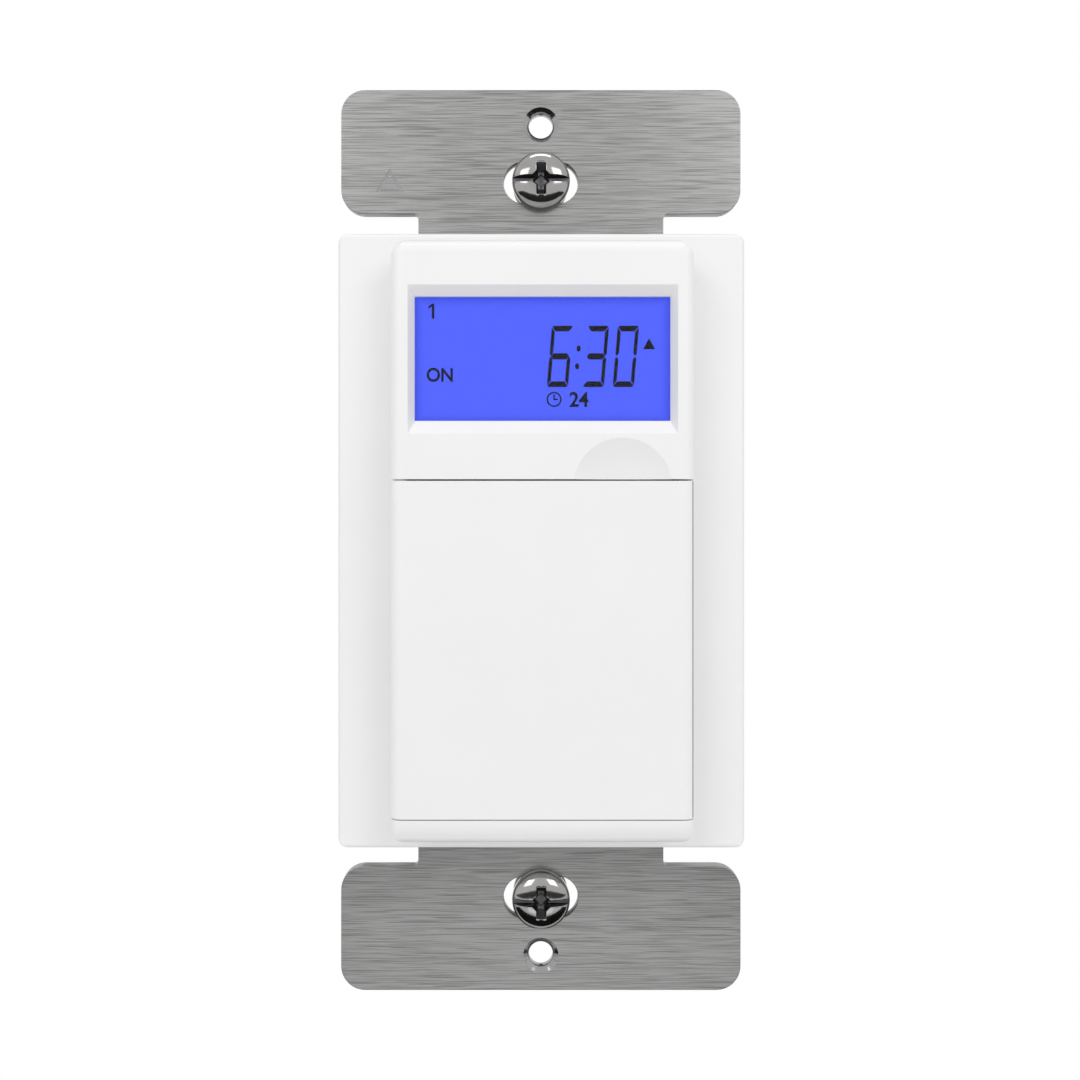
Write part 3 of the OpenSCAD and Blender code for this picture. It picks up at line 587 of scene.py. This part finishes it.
def box_outline(x, z, wide, high, radius, steps=6):
    """Outline of a rectangle with rounded corners, round its centre."""
    points = []
    for turn, (sx, sz) in enumerate(((1, 1), (-1, 1), (-1, -1), (1, -1))):
        for i in range(steps + 1):
            a = math.tau / 4 * (turn + i / steps)
            points.append((x + sx * (wide / 2 - radius) + radius * math.cos(a),
                           z + sz * (high / 2 - radius) + radius * math.sin(a)))
    return points


# --- Strap, bezel, door, housing and keys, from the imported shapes

ARROW_X, ARROW_Z, ARROW_HALF, ARROW_H = -17.6, 40.55, 1.63, 2.74
ARROW_STROKE, ARROW_DEPTH = 0.3, 0.08
# How far a cutter stands out of the face that it cuts
OVER = 0.2
# Radius round a plate hole within which walls are bare steel
HOLE_REACH = 2.2

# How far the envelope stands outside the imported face, and how it is rounded
FACE_EASE, FACE_CORNER, FACE_ROUNDING = 0.02, 2.1, 1.22
# Where the envelope's wide back part starts, and where its narrow one ends
BACK_START, FACE_END = -2.6, -1.62
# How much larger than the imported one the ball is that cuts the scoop
SCOOP_EASE = 0.03

SEAM_DROP = 0.05
# A fine groove along the door's right edge, which reads as the seam there
GROOVE_X0, GROOVE_X1, GROOVE_Z0, GROOVE_Z1, GROOVE_BOTTOM = 16.27, 16.4, -31, 7.5, -7.9

LABEL_Z, LABEL_W, LABEL_H, LABEL_CORNER, LABEL_DEPTH = 2, 27, 38, 1.5, 0.3
EJECTOR_R, EJECTOR_DEPTH = 1.3, 0.1
EJECTOR_PLACES = [(x, z) for x in (-16.2, 16.2) for z in (-22, 0, 22)]


def arrow_cutter():
    """Outline of a triangle that points up, to be stamped in the strap's upper ear."""
    x, z, half, high, stroke = ARROW_X, ARROW_Z, ARROW_HALF, ARROW_H, ARROW_STROKE
    outer = [(x - half, z), (x + half, z), (x, z + high)]
    inner = [(x - half + 2 * stroke, z + stroke), (x + half - 2 * stroke, z + stroke),
             (x, z + high - 2 * stroke)]
    mark = plate("arrow_cut", outer, -OVER, OVER + ARROW_DEPTH)
    return combine(mark, plate("arrow_core", inner, -OVER - 0.1, OVER + 0.3), "DIFFERENCE")


def make_strap():
    strap = node_copy("mounting_strap", "strap_plate", 0.1)
    combine(strap, arrow_cutter(), "DIFFERENCE")
    finished(strap, "switch", "brushed_steel", ["mounting_strap"])
    strap.data.materials.append(FINISHES["cut_steel"])
    for face in strap.data.polygons:
        x, y, z = face.center / MM
        punched = math.hypot(x, abs(z) - PLATE_HOLE_Z) < HOLE_REACH and abs(face.normal.y) < 0.9
        near_arrow = abs(x - ARROW_X) < 2 and abs(z - ARROW_Z - ARROW_H / 2) < 2
        if punched or near_arrow and 0.001 < y < 0.15:
            face.material_index = 1


def face_envelope():
    """What the bezel fits in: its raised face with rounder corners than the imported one, and all behind it."""
    front = FACE_FRONT - FACE_EASE
    outline = box_outline(0, 0, FACE_W + 2 * FACE_EASE, FACE_H + 2 * FACE_EASE, FACE_CORNER, steps=10)
    envelope = plate("envelope", outline, front, FACE_END - front)
    edit(envelope)
    pick(envelope, "edges", lambda e: all(v.co.y < front + 0.001 for v in e.verts))
    bpy.ops.mesh.bevel(offset=FACE_ROUNDING, segments=8, affect="EDGES")
    leave_edit()
    return combine(envelope, plate("behind", box_outline(0, 0, 60, 80, 1), BACK_START, 5), "UNION")


def make_bezel():
    bezel = node_copy("front_bezel", "bezel_cover", 0.05)
    deselect()
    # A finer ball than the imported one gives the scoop's rim a clean arc
    bpy.ops.mesh.primitive_uv_sphere_add(segments=160, ring_count=80, radius=SCOOP_BALL + SCOOP_EASE,
                                         location=(SCOOP_X, SCOOP_BOTTOM - SCOOP_BALL, SCOOP_Z))
    combine(bezel, bpy.context.object, "DIFFERENCE")
    combine(bezel, face_envelope(), "INTERSECT")
    finished(bezel, "switch", "white_plastic", ["front_bezel"], smooth=20)


def open_top_seam(piece):
    """Lowers the door's top edge a little, so that the seam above it reads as dark as it is."""
    pick(piece, "faces", lambda f: f.normal.z > 0.9 and abs(f.calc_center_median().z - DOOR_TOP) < 0.15)
    bpy.ops.transform.translate(value=(0, 0, -SEAM_DROP))


def make_door():
    door = node_copy("door", "door_panel", 0.05, shape=open_top_seam)
    front = FACE_FRONT - OVER
    groove = plate("edge_groove", rectangle(GROOVE_X0, GROOVE_X1, GROOVE_Z0, GROOVE_Z1), front,
                   GROOVE_BOTTOM - front)
    combine(door, groove, "DIFFERENCE")
    finished(door, "door", "white_plastic", ["door"], smooth=20)


def make_housing():
    """The back box, with a bare recess for a label and the round marks of the mould's ejector pins."""
    housing = node_copy("rear_housing", "housing_shell", 0.15)
    label = box_outline(0, LABEL_Z, LABEL_W, LABEL_H, LABEL_CORNER)
    combine(housing, plate("label_recess", label, HOUSING_BACK - LABEL_DEPTH, LABEL_DEPTH + 0.3),
            "DIFFERENCE")
    for place in EJECTOR_PLACES:
        pin = plate("ejector_mark", circle(place, EJECTOR_R, 28), HOUSING_BACK - EJECTOR_DEPTH,
                    EJECTOR_DEPTH + 0.3)
        combine(housing, pin, "DIFFERENCE")
    close_holes(housing)
    finished(housing, "switch", "housing_plastic", ["rear_housing"])


def make_key_caps():
    for key in KEYS:
        cap = node_copy("key_" + key, "cap_" + key, 0.12)
        finished(cap, key + "_button", "key_plastic", ["key_" + key])


# --- Long screws of the wall box, with a slot and a cross for either driver

HEAD_R, HEAD_RIM, HEAD_DOME, PAN = 3.35, 0.7, 1.38, 2.4
HEAD_TOP = -HEAD_RIM - HEAD_DOME
HEAD_CHAMFER, NECK_FILLET, NECK_TAPER = 0.12, 0.15, 0.1
NECK_R, NECK_END = 1.5, 2.6
THREAD_R, THREAD_CORE, THREAD_PITCH, THREAD_END = 1.75, 1.35, 0.794, 24.8
# The turned core stands a little over the ridge's foot, so that the two overlap
CORE_R = THREAD_CORE + 0.02
SCREW_TIP, TIP_CHAMFER = 25.4, 0.5
DOME_STEPS = 18
# Half sizes in X and Z at the mouth and at the bottom, start in front of the head, depth, and turn
RECESS_CUTS = {
    "slot_cut": ((4.0, 0.46), (4.0, 0.24), 0.5, 1.55, 0),
    "arm_cut": ((0.62, 2.15), (0.36, 1.0), 0.3, 1.75, 0),
    "middle_cut": ((1.12, 1.12), (0.5, 0.5), 0.3, 1.95, 45),
}


def taper(name, mouth, bottom, top, depth, turn):
    """Four-sided cutter that narrows from its mouth in front to its bottom, half sizes in X and Z."""
    deselect()
    middle = top + depth / 2
    bpy.ops.mesh.primitive_cube_add(size=2, location=(0, middle, 0))
    piece = bpy.context.object
    piece.name = name
    edit(piece)
    bpy.ops.transform.resize(value=(mouth[0], depth / 2, mouth[1]), center_override=(0, middle, 0))
    pick(piece, "faces", lambda f: f.normal.y > 0.9)
    bpy.ops.transform.resize(value=(bottom[0] / mouth[0], 1, bottom[1] / mouth[1]),
                             center_override=(0, top + depth, 0))
    leave_edit()
    piece.rotation_euler = (0, math.radians(turn), 0)
    bpy.ops.object.transform_apply(location=True, rotation=True, scale=True)
    return piece


def screw_thread(name, radius, core, pitch, start, end):
    """Closed helical ridge: its profile carried round and along by a Screw modifier, and its ends filled."""
    low = core - 0.25
    profile = [(low, 0.08), (core, 0.08), (radius, 0.46), (radius, 0.54), (core, 0.92), (low, 0.92)]
    piece = drawn(name, [(r, start + part * pitch, 0) for r, part in profile], closed=True)
    bpy.ops.mesh.delete(type="ONLY_FACE")
    leave_edit()
    helix = piece.modifiers.new("helix", "SCREW")
    helix.axis = "Y"
    helix.angle = math.tau
    helix.screw_offset = pitch
    helix.iterations = int((end - start) / pitch) - 1
    helix.steps = helix.render_steps = 28
    bpy.ops.object.modifier_apply(modifier="helix")
    close_holes(piece)
    return piece


def screw_profile():
    """Half profile of head, bare neck and thread core, from the head's top to the tip."""
    angles = [math.tau / 4 * i / DOME_STEPS for i in range(1, DOME_STEPS)]
    dome = [(HEAD_R * math.sin(a) ** (2 / PAN), HEAD_TOP + HEAD_DOME * (1 - math.cos(a) ** (2 / PAN)))
            for a in angles]
    head = [(HEAD_R, -HEAD_RIM), (HEAD_R, -HEAD_CHAMFER), (HEAD_R - HEAD_CHAMFER, 0)]
    neck = [(NECK_R + NECK_FILLET, 0), (NECK_R, NECK_FILLET), (NECK_R, NECK_END - NECK_TAPER)]
    core = [(CORE_R, NECK_END), (CORE_R, THREAD_END), (CORE_R - TIP_CHAMFER, SCREW_TIP), (0, SCREW_TIP)]
    return [(0, HEAD_TOP)] + dome + head + neck + core


def takes_painted_shade(face, z):
    """Whether a face of a screw at this height lies below the dome's skin, in the slot or the cross, and so
    takes the painted shade.
    """
    x, y, up = face.center / MM - Vector((0, 0, z))
    out = math.hypot(x, up)
    skin = HEAD_TOP + HEAD_DOME * (1 - max(0, 1 - (out / HEAD_R) ** PAN) ** (1 / PAN))
    # Walls that face up are kept out of the painted shade, and stay bright as if lit from above
    return out < HEAD_R - 0.05 and skin + 0.07 < y < -0.2 and face.normal.z < 0.5


def make_box_screws():
    screw = turned("box_screw_upper", screw_profile())
    for name, (mouth, bottom, ahead, depth, turn) in RECESS_CUTS.items():
        combine(screw, taper(name, mouth, bottom, HEAD_TOP - ahead, depth, turn), "DIFFERENCE")
    round_edges(screw, 0.05, angle=35)
    start = NECK_END + NECK_FILLET
    thread = screw_thread("box_thread", THREAD_R, THREAD_CORE, THREAD_PITCH, start, THREAD_END)
    upper = joined([screw, thread], "box_screw_upper")
    lower = new_object("box_screw_lower", upper.data)
    for piece, z in ((upper, BOX_SCREW_Z), (lower, -BOX_SCREW_Z)):
        piece.location = (0, 0, z)
        finished(piece, "switch", "nickel_screw", ["mounting_screws"])
        # Faces deep in the slot and the cross take the second, darker finish: painted shade in the recess
        piece.data.materials.append(FINISHES["painted_recess_shade"])
        for face in piece.data.polygons:
            if takes_painted_shade(face, z):
                face.material_index = 1


# --- What the display and the wide key show: a plain time, ON, OFF and generic marks

INK_DEPTH = 0.03
DISPLAY_INK_FRONT = PANEL_FRONT - INK_DEPTH
KEY_INK_FRONT = KEY_FRONT - 0.02
DISPLAY_PRINT = {"body": "switch", "slot": "display_glass", "finish": "display_ink"}
KEY_PRINT = {"body": "on_off_button", "slot": "key_plastic", "finish": "key_ink"}

DIGIT_W, DIGIT_H, DIGIT_BASE, SLANT = 2.33, 6.76, 17.13, 0.087
BAR_ACROSS, BAR_MIDDLE, BAR_UP = 0.62, 0.68, 0.37
# Gap between two bars, and how much of a digit's outer corner is cut off
MITRE, CHIP = 0.06, 0.13
SEGMENTS = {"6": "adefgc", "3": "abcdg", "0": "abcdef"}
# Name, figure and left edge
DIGITS = (("digit_hour", "6", 0.49), ("digit_tens", "3", 4.45), ("digit_units", "0", 7.76))
DOT_PLACES, DOT_W, DOT_H = ((4.01, 21.38), (3.84, 19.41)), 0.43, 0.68


def segment_outlines():
    """Outlines of the seven bars of an upright digit, pointed at their ends, from its lower left corner."""
    w, h, middle = DIGIT_W, DIGIT_H, DIGIT_H / 2
    thick, up, gap, chip = BAR_ACROSS, BAR_UP, MITRE, CHIP
    half = BAR_MIDDLE / 2
    return {
        "a": [(chip + gap, h), (w - chip - gap, h), (w - gap, h - chip), (w - up - gap, h - thick),
              (up + gap, h - thick), (gap, h - chip)],
        "d": [(chip + gap, 0), (w - chip - gap, 0), (w - gap, chip), (w - up - gap, thick),
              (up + gap, thick), (gap, chip)],
        "g": [(gap + 0.1, middle), (up + gap, middle + half), (w - up - gap, middle + half),
              (w - gap - 0.1, middle), (w - up - gap, middle - half), (up + gap, middle - half)],
        "f": [(0, h - chip - gap), (up, h - thick - gap), (up, middle + half + gap),
              (up / 2, middle + gap), (0, middle + half / 2 + gap)],
        "e": [(0, chip + gap), (up, thick + gap), (up, middle - half - gap),
              (up / 2, middle - gap), (0, middle - half / 2 - gap)],
        "b": [(w, h - chip - gap), (w - up, h - thick - gap), (w - up, middle + half + gap),
              (w - up / 2, middle + gap), (w, middle + half / 2 + gap)],
        "c": [(w, chip + gap), (w - up, thick + gap), (w - up, middle - half - gap),
              (w - up / 2, middle - gap), (w, middle - half / 2 - gap)],
    }


def slanted(points, left):
    return [(left + x + SLANT * z, DIGIT_BASE + z) for x, z in points]


def display_plate(name, points):
    return plate(name, points, DISPLAY_INK_FRONT, INK_DEPTH)


def lettering(name, words, corner, extent, front, body, slot, finish):
    """Plain lettering that fills a given box of X and Z, as a thin solid that faces the room."""
    deselect()
    bpy.ops.object.text_add(location=(0, 0, 0), rotation=(math.radians(90), 0, 0))
    piece = bpy.context.object
    piece.name = name
    piece.data.body = words
    piece.data.extrude = 0.05
    piece.data.offset = 0.02
    bpy.ops.object.convert(target="MESH")
    bpy.ops.object.transform_apply(location=True, rotation=True, scale=True)
    low = [min(v.co[i] for v in piece.data.vertices) for i in range(3)]
    high = [max(v.co[i] for v in piece.data.vertices) for i in range(3)]
    goal = (extent[0], INK_DEPTH, extent[1])
    piece.scale = [goal[i] / (high[i] - low[i]) for i in range(3)]
    place = (corner[0], front, corner[1])
    piece.location = [place[i] - low[i] * piece.scale[i] for i in range(3)]
    bpy.ops.object.transform_apply(location=True, rotation=True, scale=True)
    edit(piece)
    bpy.ops.mesh.select_all(action="SELECT")
    bpy.ops.mesh.remove_doubles(threshold=0.002)
    bpy.ops.mesh.dissolve_limited(angle_limit=math.radians(1))
    bpy.ops.mesh.normals_make_consistent(inside=False)
    leave_edit()
    return finished(piece, body, slot, finish=finish)


def make_time():
    bars = segment_outlines()
    for name, figure, left in DIGITS:
        parts = [display_plate(name + "_" + bar, slanted(bars[bar], left)) for bar in SEGMENTS[figure]]
        finished(joined(parts, name), **DISPLAY_PRINT)
    turns = [i * math.tau / 20 for i in range(20)]
    dots = [display_plate("dot", [(x + DOT_W / 2 * math.cos(a), z + DOT_H / 2 * math.sin(a)) for a in turns])
            for x, z in DOT_PLACES]
    finished(joined(dots, "time_colon"), **DISPLAY_PRINT)


def make_clock_mark():
    """Small clock face: a ring and two hands."""
    (x, z), radius, stroke = (1.3, 15.76), 0.83, 0.16
    across, up = 0.42, 0.55
    ring = display_plate("mark_clock", circle((x, z), radius))
    core = plate("ring_core", circle((x, z), radius - stroke), DISPLAY_INK_FRONT - 0.1, INK_DEPTH + 0.2)
    combine(ring, core, "DIFFERENCE")
    half = stroke / 2
    hands = [(x - half, z - half), (x + across, z - half), (x + across, z + half), (x + half, z + half),
             (x + half, z + up), (x - half, z + up)]
    finished(joined([ring, display_plate("clock_hands", hands)], "mark_clock"), **DISPLAY_PRINT)


def make_display_marks():
    """The figure 1 for the first day, ON, 24 and a clock for the day's length, and a small triangle."""
    lettering("mark_on", "ON", (-12.76, 17.7), (2.88, 1.55), DISPLAY_INK_FRONT, **DISPLAY_PRINT)
    x, z, stroke, high = -12.2, 24.66, 0.27, 1.66
    one = [(x, z), (x + stroke, z), (x + stroke, z + high), (x + 0.04, z + high), (x - 0.36, z + 1.38),
           (x - 0.36, z + 1.1), (x, z + 1.36)]
    finished(display_plate("mark_day", one), **DISPLAY_PRINT)
    lettering("mark_24", "24", (3.0, 14.93), (2.1, 1.66), DISPLAY_INK_FRONT, **DISPLAY_PRINT)
    triangle = [(11.12, 21.3), (12.45, 21.3), (11.785, 22.5)]
    finished(display_plate("mark_half_day", triangle), **DISPLAY_PRINT)
    make_clock_mark()


def make_key_lettering():
    """ON / OFF, printed on the wide key."""
    lettering("print_on", "ON", (-9.4, -19.5), (3.7, 2.0), KEY_INK_FRONT, **KEY_PRINT)
    lettering("print_off", "OFF", (-2.0, -19.5), (5.0, 2.0), KEY_INK_FRONT, **KEY_PRINT)
    bar = [(-4.2, -20.1), (-3.95, -20.1), (-3.05, -16.9), (-3.3, -16.9)]
    finished(plate("print_bar", bar, KEY_INK_FRONT, INK_DEPTH), **KEY_PRINT)


make_camera()
make_stage()
make_black_cards()
make_light()
dress_nodes()
make_strap()
make_bezel()
make_door()
make_housing()
make_key_caps()
make_box_screws()
make_time()
make_display_marks()
make_key_lettering()
